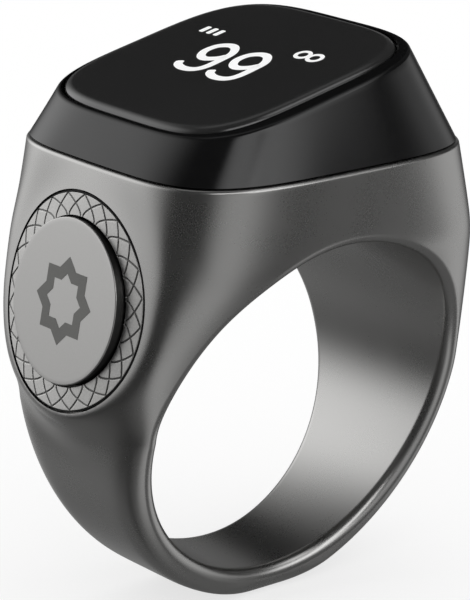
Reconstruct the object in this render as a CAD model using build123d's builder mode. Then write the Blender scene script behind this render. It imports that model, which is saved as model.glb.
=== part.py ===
"""Digital tasbih counter worn as a finger ring: metal shank, black display head, sprung side button."""

import os
from math import cos, pi, radians, sin, sqrt, tan

from build123d import *

# Ring and head, millimetres. The bore runs along Y through the origin, the head points up.
BORE_D = 20.0
SHANK_T = 1.65
BORE_EDGE_R = 0.5
SEAM_EDGE = 0.12
HEAD_MORE = 0.6
HEAD_D = 18.92
SEAM_RISE = 4.1
HEAD_BOW_R = 40.0
SHANK_EDGE_R = 1.0
OUTLINE_POINTS = 72
SHANK_SOFT = 0.067
HEAD_SOFT = 0.254
FACE_MID = 6.12
FACE_SLOPE = 0.32
FACE_CURVE = 0.0045

# Button side
PAD_TILT = 11.2
PAD_STAND = 2.89
BUTTON_UP = 4.45
PAD_R = 6.2
PAD_FALL = 1.7
ORNAMENT_R = 5.86
ORNAMENT_T = 0.7
BUTTON_R = 4.66
BUTTON_PROUD = 0.3
BUTTON_EDGE_R = 0.16
BUTTON_FLANGE_R = 5.3
BUTTON_FLANGE_T = 0.4
BUTTON_TRAVEL = 0.25
GASKET_T = 0.25
POCKET_DEPTH = 2.0
RUN = 0.08
REST_GAP = 0.03
NUB_R = 0.7
SWITCH_W = 3.4
SWITCH_H = 0.5
WELL_DEPTH = 0.25
DOME_R = 1.3
DOME_T = 0.07
DOME_PROUD = 0.18

# Display cap and lens
CAP_TILT = 12.7
LENS_X = -0.876
LENS_RISE = 4.156
LENS_W = 15.18
LENS_D = 14.91
LENS_T = 1.0
LENS_SOFT = 0.254
LENS_EDGE_R = 0.3
LENS_PROUD = 0.17
CAP_RIM_W = 0.39
CAP_RIM_D = 1.035
CAP_SOFT = 0.267
CAP_EDGE_R = 0.25
CAP_LEDGE = 0.7
LEDGE_CORNER_R = 2.6
FIT = 0.05
GLUE_T = 0.1
GLUE_INSET = 0.1

# Cavity and what is packed in it
HEAD_WALL_W = 2.1
HEAD_WALL_D = 1.46
CAVITY_CORNER_R = 3.6
FLOOR_T = 1.2
SPIGOT_H = 0.6
SPIGOT_T = 0.7
SEAL_H = 0.3
SEAL_T = 0.25
BOARD_INSET = 0.9
BOARD_T = 0.6
CARRIER_WALL_W = 1.4
CARRIER_WALL_D = 1.6
CELL_PLAY = 0.1
CELL_CORNER_R = 0.6
CELL_EDGE_R = 0.2
CELL_PAD_T = 0.15
CELL_PAD_D = 1.6
CELL_PAD_INSET = 0.3
TAB_W = 1.4
TAB_D = 2.0
TAB_H = 0.2
TAB_SPACING = 7.0
TAB_INSET = 0.5
FLEX_T = 0.12
FLEX_W = 2.4
FLEX_PLAY = 0.3
OLED_PLAY_W = 0.89
OLED_PLAY_D = 1.155
OLED_T = 1.0
OLED_FLEX_W = 4.6
CONNECTOR_W = 2.4
CONNECTOR_H = 0.8
RADIO_W = 4.0
RADIO_H = 0.85
POWER_W = 2.0
POWER_H = 0.6
CRYSTAL_W = 2.0
CRYSTAL_D = 1.6
CRYSTAL_H = 0.5
ANTENNA_W = 3.2
ANTENNA_D = 1.2
ANTENNA_H = 0.5
CAPACITOR_W = 1.0
CAPACITOR_D = 0.5
CAPACITOR_H = 0.5
CAPACITOR_SPACING = 1.1
CHIP_EDGE_R = 0.05
CHARGE_FLEX_W = 6.4
MOTOR_R = 3.0
MOTOR_PLAY = 0.45
MOTOR_GAP = 0.4
MOTOR_PAD_T = 0.1
MOTOR_BASE_T = 0.25
MOTOR_WALL = 0.2
SHAFT_R = 0.3
SHAFT_RUN = 0.04
ROTOR_GAP = 0.12
PIN_R = 0.8
PIN_SPACING = 4.0
BUSH_T = 0.4

bore_r = BORE_D / 2
shank_r = bore_r + SHANK_T
head_w = BORE_D + HEAD_MORE
seam_z = bore_r + SEAM_RISE
pad_reach = bore_r + PAD_STAND
tilt = radians(PAD_TILT)
cap_tilt = radians(CAP_TILT)
cap_top_w = LENS_W + 2 * CAP_RIM_W
cap_top_d = LENS_D + 2 * CAP_RIM_D

# Cavity, cell and board follow the head's outside and its walls.
cavity_w = head_w - 2 * HEAD_WALL_W
cavity_d = HEAD_D - 2 * HEAD_WALL_D
spigot_w = cavity_w - 2 * FIT
spigot_d = cavity_d - 2 * FIT
seal_w = spigot_w - 2 * SEAL_T
seal_d = spigot_d - 2 * SEAL_T
room_w = spigot_w - 2 * SPIGOT_T
room_d = spigot_d - 2 * SPIGOT_T
floor_z = bore_r + FLOOR_T
board_z = seam_z - SPIGOT_H - FIT
board_top = board_z + BOARD_T
board_w = cavity_w - 2 * BOARD_INSET
board_d = cavity_d - 2 * BOARD_INSET
cell_w = spigot_w - 2 * CARRIER_WALL_W - 2 * CELL_PLAY
cell_d = spigot_d - 2 * CARRIER_WALL_D - 2 * CELL_PLAY
cell_z = floor_z + CELL_PAD_T
cell_t = board_z - TAB_H - cell_z
tab_x = -cell_w / 2 + TAB_INSET + TAB_W / 2
oled_w = min(LENS_W - 2 * CAP_LEDGE, room_w) - 2 * OLED_PLAY_W
oled_d = min(LENS_D - 2 * CAP_LEDGE, room_d) - 2 * OLED_PLAY_D
charge_flex_w = min(CHARGE_FLEX_W, cell_d - 2 * CELL_PAD_D - 4 * CELL_PAD_INSET)
motor_x = room_w / 2 - MOTOR_R - MOTOR_PLAY
motor_y = room_d / 2 - MOTOR_R - MOTOR_PLAY

# The button's own plane: its z points out of the ring, its y up the side of the head.
pad_out = Vector(-cos(tilt), 0, sin(tilt))
pad_up = Vector(sin(tilt), 0, cos(tilt))
pad_centre = pad_out * pad_reach + pad_up * BUTTON_UP
pad_plane = Plane(origin=pad_centre, x_dir=(0, -1, 0), z_dir=pad_out)

# The lens plane rises away from the button.
lens_plane = Plane(
    origin=(LENS_X, 0, seam_z + LENS_RISE),
    x_dir=(cos(cap_tilt), 0, sin(cap_tilt)),
    z_dir=(-sin(cap_tilt), 0, cos(cap_tilt)),
)
cap_top_plane = lens_plane.offset(-LENS_PROUD)
ledge_plane = lens_plane.offset(-LENS_T - GLUE_T)
oled_low = ledge_plane.offset(-OLED_T)

# The motor's can stops short of the leaning display above it.
motor_z = board_top + MOTOR_PAD_T
display_z = oled_low.origin.Z + (motor_x - MOTOR_R - oled_low.origin.X) * tan(cap_tilt)
motor_h = display_z - MOTOR_GAP - motor_z


def blend(value, low, high):
    """Smooth step from 0 at low to 1 at high."""
    t = min(1.0, max(0.0, (value - low) / (high - low)))
    return t * t * (3 - 2 * t)


def half_depth(z):
    """Half the depth along Y at height z: a leaning flank, upright at the head, rounded at the bottom."""
    flank = FACE_MID + FACE_SLOPE * z + FACE_CURVE * z * z
    top = HEAD_D / 2
    ease = 0.35
    under = max(0.0, 1 - (z + shank_r) / SHANK_EDGE_R)
    edge = SHANK_EDGE_R * (1 - sqrt(1 - under * under))
    return 0.5 * (flank + top - sqrt((flank - top) ** 2 + ease * ease)) - edge


def right_half(z):
    """Half width on the plain side: the shank's circle, then the tangent line up to the seam."""
    reach = sqrt(seam_z**2 + (head_w / 2) ** 2 - shank_r**2)
    lean = (seam_z - reach) / (head_w / 2 + shank_r)
    tangent_z = shank_r * 2 * lean / (1 + lean * lean)
    if z < tangent_z:
        return sqrt(shank_r**2 - z * z)
    at = sqrt(shank_r**2 - tangent_z**2)
    return at + (head_w / 2 - at) * (z - tangent_z) / (seam_z - tangent_z)


def left_half(z):
    """Half width on the button side: the shank below, the pad's leaning plane above."""
    plain = right_half(z)
    pad = (pad_reach - z * sin(tilt)) / cos(tilt)
    return plain + (pad - plain) * blend(z, 0.5, 6.5)


def roundness(z):
    """Superellipse exponent of the horizontal section: crisp edges at the shank, soft corners at the seam."""
    return 1 / (SHANK_SOFT + (HEAD_SOFT - SHANK_SOFT) * sin(pi / 2 * min(1.0, max(0.0, z / seam_z))))


def unit_curve(turn, power):
    """Point of the unit superellipse; turns are graded so that points gather at the corners."""
    angle = turn + 0.1875 * sin(4 * turn)
    rho = (abs(cos(angle)) ** power + abs(sin(angle)) ** power) ** (-1 / power)
    return rho * cos(angle), rho * sin(angle)


def head_point(turn, z):
    """Point of the head's outline at height z, with the round pad raised on the button side."""
    along, across = unit_curve(turn, roundness(z))
    y = across * half_depth(z)
    if along > 0:
        return along * right_half(z), y
    x = along * left_half(z)
    pad = -(pad_reach - z * sin(tilt) - y * y / (2 * HEAD_BOW_R)) / cos(tilt)
    away = sqrt(y * y + ((z - pad_centre.Z) / cos(tilt)) ** 2)
    return x + (pad - x) * (1 - blend(away, PAD_R, PAD_R + PAD_FALL)), y


def closed_outline(z):
    """Closed spline round the body at height z, with the turns as its parameters."""
    turns = [2 * pi * k / OUTLINE_POINTS for k in range(OUTLINE_POINTS + 1)]
    points = [Vector(*head_point(turn, z)) for turn in turns[:-1]]
    return Edge.make_spline(points, periodic=True, parameters=turns)


def soft_outline(half_w, half_d, soft):
    """Closed spline of a superellipse with these half sizes; soft is one over its exponent."""
    turns = [2 * pi * k / OUTLINE_POINTS for k in range(OUTLINE_POINTS + 1)]
    curve = [unit_curve(turn, 1 / soft) for turn in turns[:-1]]
    points = [Vector(half_w * x, half_d * y) for x, y in curve]
    return Edge.make_spline(points, periodic=True, parameters=turns)


# Body blank: horizontal sections from the bottom of the shank to the seam
low_turns = (3, 6, 9, 12, 15, 18, 21, 24, 28, 32, 37, 42, 48, 54, 60, 66, 72, 78, 84)
high_shares = (-0.035, 0, 0.035, 0.07, 0.115, 0.17, 0.24, 0.325, 0.425, 0.525, 0.61, 0.7, 0.79, 0.88, 0.95, 1)
levels = [-shank_r * cos(radians(turn)) for turn in low_turns] + [seam_z * share for share in high_shares]
with BuildPart() as blank:
    for z in levels:
        with BuildSketch(Plane.XY.offset(z)):
            with BuildLine():
                add(closed_outline(z))
            make_face()
    loft()

# Bowed face of the button side, as the solid it bounds
with BuildPart() as bow:
    with BuildSketch(Plane(origin=pad_centre - pad_out * HEAD_BOW_R, x_dir=pad_out, z_dir=pad_up)):
        Circle(HEAD_BOW_R)
    extrude(amount=2 * ORNAMENT_R, both=True)

# Straight run of the switch flex: up the pocket's floor, then under the board
flex_low = pad_centre - pad_out * POCKET_DEPTH - pad_up * SWITCH_W / 2
flex_top_z = board_z - FLEX_T
flex_run = (flex_top_z - flex_low.Z) / pad_up.Z
flex_high = flex_low + pad_up * flex_run

with BuildPart() as ring_body:
    add(blank.part)
    # stepped pocket for the ornament ring and the button
    with BuildSketch(pad_plane.offset(1.0)):
        Circle(ORNAMENT_R + FIT)
    extrude(amount=-1.0 - ORNAMENT_T - GASKET_T, mode=Mode.SUBTRACT)
    with BuildSketch(pad_plane.offset(1.0)):
        Circle(BUTTON_FLANGE_R + RUN)
    extrude(amount=-1.0 - POCKET_DEPTH, mode=Mode.SUBTRACT)
    # finger bore and its rounded rims
    with BuildSketch(Plane.XZ.offset(-30)):
        Circle(bore_r)
    extrude(amount=60, mode=Mode.SUBTRACT)
    bore_faces = ring_body.faces().filter_by(lambda f: abs((f.radius or 0) - bore_r) < 1e-6)
    fillet(bore_faces.edges().filter_by(GeomType.LINE, reverse=True), BORE_EDGE_R)
    chamfer(ring_body.faces().sort_by(Axis.Z)[-1].outer_wire().edges(), SEAM_EDGE)
    # electronics cavity under the cap
    with BuildSketch(Plane.XY.offset(floor_z)):
        RectangleRounded(cavity_w, cavity_d, CAVITY_CORNER_R)
    extrude(amount=seam_z - floor_z + 2, mode=Mode.SUBTRACT)
    # way through for the switch flex
    with BuildSketch(pad_plane.offset(-POCKET_DEPTH)):
        with Locations((0, flex_run / 2)):
            Rectangle(FLEX_W + 2 * FLEX_PLAY, flex_run - SWITCH_W - FLEX_PLAY)
    extrude(amount=0.5, mode=Mode.SUBTRACT)
    with Locations((-cavity_w / 2 - 0.4, 0, board_z - 0.4)):
        Box(1.2, FLEX_W + 2 * FLEX_PLAY, 0.9, mode=Mode.SUBTRACT)
    # seats for the charging pins
    with BuildSketch(Plane.XY.offset(floor_z)):
        with GridLocations(0, PIN_SPACING, 1, 2):
            Circle(PIN_R + BUSH_T)
    extrude(amount=-2.5, mode=Mode.SUBTRACT)
ring_body.part.label = "ring_body"

# Button group
with BuildPart() as ornament_ring:
    with BuildSketch(pad_plane.offset(-ORNAMENT_T)):
        Circle(ORNAMENT_R)
        Circle(BUTTON_R + RUN, mode=Mode.SUBTRACT)
    extrude(amount=ORNAMENT_T + 0.5)
    add(bow.part, mode=Mode.INTERSECT)
ornament_ring.part.label = "ornament_ring"

with BuildPart() as ring_gasket:
    with BuildSketch(pad_plane.offset(-ORNAMENT_T - GASKET_T)):
        Circle(ORNAMENT_R)
        Circle(BUTTON_FLANGE_R + RUN, mode=Mode.SUBTRACT)
    extrude(amount=GASKET_T)
ring_gasket.part.label = "ring_gasket"

flange_top = -ORNAMENT_T - REST_GAP
flange_low = flange_top - BUTTON_FLANGE_T
nub_low = -POCKET_DEPTH + SWITCH_H + DOME_PROUD + REST_GAP
with BuildPart() as button_cap:
    with BuildSketch(pad_plane.offset(BUTTON_PROUD)):
        Circle(BUTTON_R)
    extrude(amount=flange_low - BUTTON_PROUD)
    fillet(button_cap.faces().sort_by(Axis(pad_centre, pad_out))[-1].edges(), BUTTON_EDGE_R)
    with BuildSketch(pad_plane.offset(flange_top)):
        Circle(BUTTON_FLANGE_R)
    extrude(amount=-BUTTON_FLANGE_T)
    with BuildSketch(pad_plane.offset(flange_low)):
        Circle(NUB_R)
    extrude(amount=nub_low - flange_low)
button_cap.part.label = "button_cap"

with BuildPart() as switch_base:
    with BuildSketch(pad_plane.offset(-POCKET_DEPTH + FLEX_T)):
        RectangleRounded(SWITCH_W, SWITCH_W, 0.3)
    extrude(amount=SWITCH_H - FLEX_T)
    with BuildSketch(pad_plane.offset(-POCKET_DEPTH + SWITCH_H)):
        Circle(DOME_R + FIT)
    extrude(amount=-WELL_DEPTH, mode=Mode.SUBTRACT)
switch_base.part.label = "switch_base"

# Snap dome: a shallow spherical shell standing in the well
dome_h = WELL_DEPTH + DOME_PROUD
dome_arc_r = (DOME_R**2 + dome_h**2) / (2 * dome_h)
with BuildPart() as switch_dome:
    well_floor = pad_centre - pad_out * (POCKET_DEPTH - SWITCH_H + WELL_DEPTH)
    with BuildSketch(Plane(origin=well_floor, x_dir=(0, -1, 0), z_dir=pad_up * -1)):
        with Locations((0, dome_h - dome_arc_r)):
            Circle(dome_arc_r)
            Circle(dome_arc_r - DOME_T, mode=Mode.SUBTRACT)
        with Locations((DOME_R, dome_h)):
            Rectangle(2 * DOME_R, 2 * dome_h, mode=Mode.INTERSECT)
    revolve(axis=Axis(pad_centre, pad_out))
switch_dome.part.label = "switch_dome"

with BuildPart() as switch_flex:
    with BuildSketch(Plane.XZ):
        with BuildLine():
            FilletPolyline(
                (flex_low.X, flex_low.Z),
                (flex_high.X, flex_top_z),
                (tab_x, flex_top_z),
                radius=0.4,
            )
            offset(amount=FLEX_T, side=Side.LEFT)
        make_face()
    extrude(amount=FLEX_W / 2, both=True)
switch_flex.part.label = "switch_flex"

# Display cap: wedge-shaped hood with a spigot, a lens seat and a seal groove
with BuildPart() as cap_room:
    for z in (seam_z - SPIGOT_H - 0.5, motor_z + motor_h + FLEX_PLAY):
        with BuildSketch(Plane.XY.offset(z)):
            RectangleRounded(room_w, room_d, CAVITY_CORNER_R - SPIGOT_T)
    with BuildSketch(ledge_plane.offset(0.2)):
        RectangleRounded(LENS_W - 2 * CAP_LEDGE, LENS_D - 2 * CAP_LEDGE, LEDGE_CORNER_R)
    loft(ruled=True)

with BuildPart() as display_cap:
    with BuildSketch(Plane.XY.offset(seam_z)):
        with BuildLine():
            add(closed_outline(seam_z))
        make_face()
    with BuildSketch(cap_top_plane):
        with BuildLine():
            add(soft_outline(cap_top_w / 2, cap_top_d / 2, CAP_SOFT))
        make_face()
    loft(ruled=True)
    fillet(display_cap.faces().sort_by(Axis((0, 0, 0), lens_plane.z_dir))[-1].edges(), CAP_EDGE_R)
    with BuildSketch(Plane.XY.offset(seam_z - SPIGOT_H)):
        RectangleRounded(spigot_w, spigot_d, CAVITY_CORNER_R - FIT)
    extrude(amount=SPIGOT_H)
    add(cap_room.part, mode=Mode.SUBTRACT)
    with BuildSketch(ledge_plane):
        with BuildLine():
            add(soft_outline(LENS_W / 2 + FIT, LENS_D / 2 + FIT, LENS_SOFT))
        make_face()
    extrude(amount=3, mode=Mode.SUBTRACT)
    with BuildSketch(Plane.XY.offset(seam_z - SPIGOT_H / 2 - SEAL_H / 2)):
        RectangleRounded(spigot_w + 1, spigot_d + 1, CAVITY_CORNER_R)
        RectangleRounded(seal_w, seal_d, CAVITY_CORNER_R - FIT - SEAL_T, mode=Mode.SUBTRACT)
    extrude(amount=SEAL_H, mode=Mode.SUBTRACT)
display_cap.part.label = "display_cap"

with BuildPart() as cap_seal:
    with BuildSketch(Plane.XY.offset(seam_z - SPIGOT_H / 2 - SEAL_H / 2)):
        RectangleRounded(cavity_w, cavity_d, CAVITY_CORNER_R)
        RectangleRounded(seal_w, seal_d, CAVITY_CORNER_R - FIT - SEAL_T, mode=Mode.SUBTRACT)
    extrude(amount=SEAL_H)
cap_seal.part.label = "cap_seal"

with BuildPart() as display_lens:
    with BuildSketch(lens_plane.offset(-LENS_T)):
        with BuildLine():
            add(soft_outline(LENS_W / 2, LENS_D / 2, LENS_SOFT))
        make_face()
    extrude(amount=LENS_T)
    fillet(display_lens.faces().sort_by(Axis((0, 0, 0), lens_plane.z_dir))[-1].edges(), LENS_EDGE_R)
display_lens.part.label = "display_lens"

with BuildPart() as lens_adhesive:
    with BuildSketch(ledge_plane):
        with BuildLine():
            add(soft_outline(LENS_W / 2 - GLUE_INSET, LENS_D / 2 - GLUE_INSET, LENS_SOFT))
        make_face()
        RectangleRounded(LENS_W - 2 * CAP_LEDGE, LENS_D - 2 * CAP_LEDGE, LEDGE_CORNER_R, mode=Mode.SUBTRACT)
    extrude(amount=GLUE_T)
lens_adhesive.part.label = "lens_adhesive"

# Display module under the lens
with BuildPart() as optical_adhesive:
    with BuildSketch(ledge_plane):
        Rectangle(oled_w - 4 * GLUE_INSET, oled_d - 4 * GLUE_INSET)
    extrude(amount=GLUE_T)
optical_adhesive.part.label = "optical_adhesive"

with BuildPart() as oled_panel:
    with BuildSketch(oled_low):
        Rectangle(oled_w, oled_d)
    extrude(amount=OLED_T)
    fillet(oled_panel.edges().filter_by(Axis((0, 0, 0), lens_plane.z_dir)), 0.3)
oled_panel.part.label = "oled_panel"

# The display flex leaves the panel's underside, turns over and lands on its connector.
capacitor_x = motor_x - MOTOR_R - CAPACITOR_W / 2
connector_x = capacitor_x - CAPACITOR_W / 2 - CONNECTOR_W / 2 - 1.2
flex_start = oled_low.origin - oled_low.x_dir * (oled_w / 2 - 2.4)
flex_turn = oled_low.origin + oled_low.x_dir * 0.4
connector_top = board_top + CONNECTOR_H
run_out = (flex_turn.Z - connector_top - FLEX_T) / sin(cap_tilt)
meet_x = flex_turn.X - run_out * cos(cap_tilt)
with BuildPart() as oled_flex:
    with BuildSketch(Plane.XZ):
        with BuildLine():
            top_run = Line((flex_start.X, flex_start.Z), (flex_turn.X, flex_turn.Z))
            turn_end = (meet_x + run_out, connector_top + FLEX_T)
            turn_arc = TangentArc(top_run @ 1, turn_end, tangent=top_run % 1)
            Line(turn_arc @ 1, (connector_x - CONNECTOR_W / 2, connector_top + FLEX_T))
            offset(amount=FLEX_T, side=Side.RIGHT)
        make_face()
    extrude(amount=OLED_FLEX_W / 2, both=True)
oled_flex.part.label = "oled_flex"


def chip(name, x, y, wide, deep, tall):
    """Rectangular component standing on the board."""
    with BuildPart() as piece:
        with Locations((x, y, board_top + tall / 2)):
            Box(wide, deep, tall)
        fillet(piece.edges().filter_by(Axis.Z), CHIP_EDGE_R)
    piece.part.label = name
    export_step(piece.part, f"parts/{name}.step")
    return piece


os.makedirs("parts", exist_ok=True)
radio_x = room_w / 2 - RADIO_W / 2 - 1.5
radio_y = -room_d / 2 + RADIO_W / 2 + 0.7
flex_connector = chip("flex_connector", connector_x, 0, CONNECTOR_W, OLED_FLEX_W + 2 * FLEX_PLAY, CONNECTOR_H)
radio_chip = chip("radio_chip", radio_x, radio_y, RADIO_W, RADIO_W, RADIO_H)
power_chip = chip("power_chip", capacitor_x - POWER_W / 2, board_d / 2 - POWER_W, POWER_W, POWER_W, POWER_H)
crystal_x = radio_x - RADIO_W / 2 - CRYSTAL_W / 2 - 0.6
crystal = chip("crystal", crystal_x, -board_d / 2 + CRYSTAL_D, CRYSTAL_W, CRYSTAL_D, CRYSTAL_H)
antenna_x = crystal_x - CRYSTAL_W / 2 - ANTENNA_W / 2 - 0.9
chip_antenna = chip("chip_antenna", antenna_x, -board_d / 2 + ANTENNA_D, ANTENNA_W, ANTENNA_D, ANTENNA_H)

with BuildPart() as main_board:
    with BuildSketch(Plane.XY.offset(board_z)):
        RectangleRounded(board_w, board_d, CAVITY_CORNER_R - BOARD_INSET)
    extrude(amount=BOARD_T)
main_board.part.label = "main_board"

with BuildPart() as capacitors:
    with Locations((capacitor_x, 0, board_top + CAPACITOR_H / 2)):
        with GridLocations(0, CAPACITOR_SPACING, 1, 4):
            Box(CAPACITOR_W, CAPACITOR_D, CAPACITOR_H)
capacitors.part.label = "capacitors"

# Cell and its carrier
with BuildPart() as inner_carrier:
    with BuildSketch(Plane.XY.offset(floor_z)):
        RectangleRounded(spigot_w, spigot_d, CAVITY_CORNER_R - FIT)
        nest_w = cell_w + 2 * CELL_PLAY
        nest_d = cell_d + 2 * CELL_PLAY
        RectangleRounded(nest_w, nest_d, CELL_CORNER_R + CELL_PLAY, mode=Mode.SUBTRACT)
    extrude(amount=board_z - floor_z)
    with Locations((-cavity_w / 2 + 0.5, 0, board_z)):
        Box(2 * CARRIER_WALL_W + 0.2, FLEX_W + 2 * FLEX_PLAY, 0.7, mode=Mode.SUBTRACT)
    with Locations((cell_w / 2 + 0.3, 0, (floor_z + board_z) / 2)):
        Box(1.2, charge_flex_w + FLEX_PLAY, board_z - floor_z + 1, mode=Mode.SUBTRACT)
inner_carrier.part.label = "inner_carrier"

with BuildPart() as battery_cell:
    with Locations((0, 0, cell_z + cell_t / 2)):
        Box(cell_w, cell_d, cell_t)
    fillet(battery_cell.edges().filter_by(Axis.Z), CELL_CORNER_R)
    fillet(battery_cell.faces().sort_by(Axis.Z)[-1].edges(), CELL_EDGE_R)
battery_cell.part.label = "battery_cell"

with BuildPart() as battery_pads:
    with Locations((0, 0, floor_z + CELL_PAD_T / 2)):
        with GridLocations(0, cell_d - CELL_PAD_D - 2 * CELL_PAD_INSET, 1, 2):
            Box(cell_w - CELL_PAD_D, CELL_PAD_D, CELL_PAD_T)
battery_pads.part.label = "battery_pads"

with BuildPart() as battery_tabs:
    with Locations((tab_x, 0, board_z - TAB_H / 2)):
        with GridLocations(0, TAB_SPACING, 1, 2):
            Box(TAB_W, TAB_D, TAB_H)
battery_tabs.part.label = "battery_tabs"

# Vibration motor: can, base, shaft and a spinning half-disc weight
motor_plane = Plane(origin=(motor_x, motor_y, motor_z))
with BuildPart() as motor_pad:
    with BuildSketch(motor_plane.offset(-MOTOR_PAD_T)):
        Circle(MOTOR_R - 0.1)
    extrude(amount=MOTOR_PAD_T)
motor_pad.part.label = "motor_pad"

with BuildPart() as motor_base:
    with BuildSketch(motor_plane):
        Circle(MOTOR_R)
    extrude(amount=MOTOR_BASE_T)
motor_base.part.label = "motor_base"

with BuildPart() as motor_case:
    with BuildSketch(motor_plane.offset(MOTOR_BASE_T)):
        Circle(MOTOR_R)
    extrude(amount=motor_h - MOTOR_BASE_T)
    fillet(motor_case.edges().sort_by(Axis.Z)[-1], 0.15)
    with BuildSketch(motor_plane.offset(MOTOR_BASE_T)):
        Circle(MOTOR_R - MOTOR_WALL)
    extrude(amount=motor_h - MOTOR_BASE_T - MOTOR_WALL, mode=Mode.SUBTRACT)
motor_case.part.label = "motor_case"

with BuildPart() as motor_shaft:
    with BuildSketch(motor_plane.offset(MOTOR_BASE_T)):
        Circle(SHAFT_R)
    extrude(amount=motor_h - MOTOR_BASE_T - MOTOR_WALL)
motor_shaft.part.label = "motor_shaft"

with BuildPart() as motor_rotor:
    with BuildSketch(motor_plane.offset(MOTOR_BASE_T + ROTOR_GAP)):
        with BuildLine():
            weight = CenterArc((0, 0), MOTOR_R - MOTOR_WALL - ROTOR_GAP, 0, 180)
            Line(weight @ 1, weight @ 0)
        make_face()
        Circle(SHAFT_R + 0.5)
        Circle(SHAFT_R + SHAFT_RUN, mode=Mode.SUBTRACT)
    extrude(amount=motor_h - MOTOR_BASE_T - MOTOR_WALL - 2 * ROTOR_GAP)
motor_rotor.part.label = "motor_rotor"

# Charging pins in the roof of the bore
with BuildPart() as bore_rod:
    with BuildSketch(Plane.XZ.offset(-30)):
        Circle(bore_r)
    extrude(amount=60)

with BuildPart() as charge_pins:
    with BuildSketch(Plane.XY.offset(floor_z)):
        with GridLocations(0, PIN_SPACING, 1, 2):
            Circle(PIN_R)
    extrude(amount=-2)
    add(bore_rod.part, mode=Mode.SUBTRACT)
charge_pins.part.label = "charge_pins"

with BuildPart() as pin_bushes:
    with BuildSketch(Plane.XY.offset(floor_z)):
        with GridLocations(0, PIN_SPACING, 1, 2):
            Circle(PIN_R + BUSH_T)
            Circle(PIN_R, mode=Mode.SUBTRACT)
    extrude(amount=-2)
    add(bore_rod.part, mode=Mode.SUBTRACT)
pin_bushes.part.label = "pin_bushes"

charge_x = cell_w / 2 + 0.75
with BuildPart() as charge_flex:
    with BuildSketch(Plane.XZ):
        with BuildLine():
            FilletPolyline(
                (-1.6, floor_z),
                (charge_x, floor_z),
                (charge_x, board_z),
                (charge_x - 1.6, board_z),
                radius=0.35,
            )
            offset(amount=FLEX_T, side=Side.LEFT)
        make_face()
    extrude(amount=charge_flex_w / 2, both=True)
charge_flex.part.label = "charge_flex"

export_step(ring_body.part, "parts/ring_body.step")
export_step(display_cap.part, "parts/display_cap.step")
export_step(display_lens.part, "parts/display_lens.step")
export_step(lens_adhesive.part, "parts/lens_adhesive.step")
export_step(optical_adhesive.part, "parts/optical_adhesive.step")
export_step(oled_panel.part, "parts/oled_panel.step")
export_step(oled_flex.part, "parts/oled_flex.step")
export_step(cap_seal.part, "parts/cap_seal.step")
export_step(main_board.part, "parts/main_board.step")
export_step(capacitors.part, "parts/capacitors.step")
export_step(inner_carrier.part, "parts/inner_carrier.step")
export_step(battery_cell.part, "parts/battery_cell.step")
export_step(battery_pads.part, "parts/battery_pads.step")
export_step(battery_tabs.part, "parts/battery_tabs.step")
export_step(motor_pad.part, "parts/motor_pad.step")
export_step(motor_base.part, "parts/motor_base.step")
export_step(motor_case.part, "parts/motor_case.step")
export_step(motor_shaft.part, "parts/motor_shaft.step")
export_step(motor_rotor.part, "parts/motor_rotor.step")
export_step(button_cap.part, "parts/button_cap.step")
export_step(ornament_ring.part, "parts/ornament_ring.step")
export_step(ring_gasket.part, "parts/ring_gasket.step")
export_step(switch_base.part, "parts/switch_base.step")
export_step(switch_dome.part, "parts/switch_dome.step")
export_step(switch_flex.part, "parts/switch_flex.step")
export_step(charge_pins.part, "parts/charge_pins.step")
export_step(pin_bushes.part, "parts/pin_bushes.step")
export_step(charge_flex.part, "parts/charge_flex.step")
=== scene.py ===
"""Counting ring: smooth outer skins, engraved ornament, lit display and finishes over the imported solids."""

import bpy
import numpy as np
from mathutils import Matrix, Vector


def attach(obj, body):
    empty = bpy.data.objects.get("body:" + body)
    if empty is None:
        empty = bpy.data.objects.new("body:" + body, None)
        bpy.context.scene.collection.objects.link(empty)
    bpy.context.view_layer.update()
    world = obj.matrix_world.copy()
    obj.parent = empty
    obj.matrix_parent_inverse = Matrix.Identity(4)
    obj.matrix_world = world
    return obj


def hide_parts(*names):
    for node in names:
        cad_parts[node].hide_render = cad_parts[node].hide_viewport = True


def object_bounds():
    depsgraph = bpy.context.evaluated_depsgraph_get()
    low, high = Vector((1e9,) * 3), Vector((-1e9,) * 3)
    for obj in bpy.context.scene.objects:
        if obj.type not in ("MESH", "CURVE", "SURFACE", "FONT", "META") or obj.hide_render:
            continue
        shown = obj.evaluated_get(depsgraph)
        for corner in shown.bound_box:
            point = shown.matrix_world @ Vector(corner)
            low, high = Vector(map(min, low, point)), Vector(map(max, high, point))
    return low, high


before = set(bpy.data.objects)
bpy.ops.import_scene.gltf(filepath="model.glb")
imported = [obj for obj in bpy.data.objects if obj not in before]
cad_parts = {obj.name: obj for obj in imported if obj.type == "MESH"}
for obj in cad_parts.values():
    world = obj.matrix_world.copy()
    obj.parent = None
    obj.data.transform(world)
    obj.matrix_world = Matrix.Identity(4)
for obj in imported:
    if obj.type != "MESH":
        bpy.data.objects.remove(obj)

bl_info = {
    "name": "Counting Ring",
    "version": (1, 0, 0),
    "blender": (4, 5, 0),
    "location": "View3D > Sidebar > Ring",
    "description": "Dresses the packed finger counter with its skins, marks and finishes",
    "category": "Object",
}

CAD_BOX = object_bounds()
MM = 0.001
TURN = 2 * np.pi
ACROSS, ALONG, UPRIGHT = np.eye(3)

# Softness of an outline: one over the exponent of its superellipse
SHANK_SOFTNESS = 0.11
SEAM_SOFTNESS = 0.254
CREST_SOFTNESS = 0.267
LENS_SOFTNESS = 0.254

# Share of the sine of four turns by which an outline's points gather at its corners
GATHER = 0.1875

# Marks on the lens and the disc: how deep they are let in, and how far they stand out
MARK_SUNK = 0.05 * MM
MARK_PROUD = 0.012 * MM

# Span of the noise that a finish spreads over its tones
NOISE_LOW = 0.3
NOISE_HIGH = 0.7


# Settings


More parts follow.
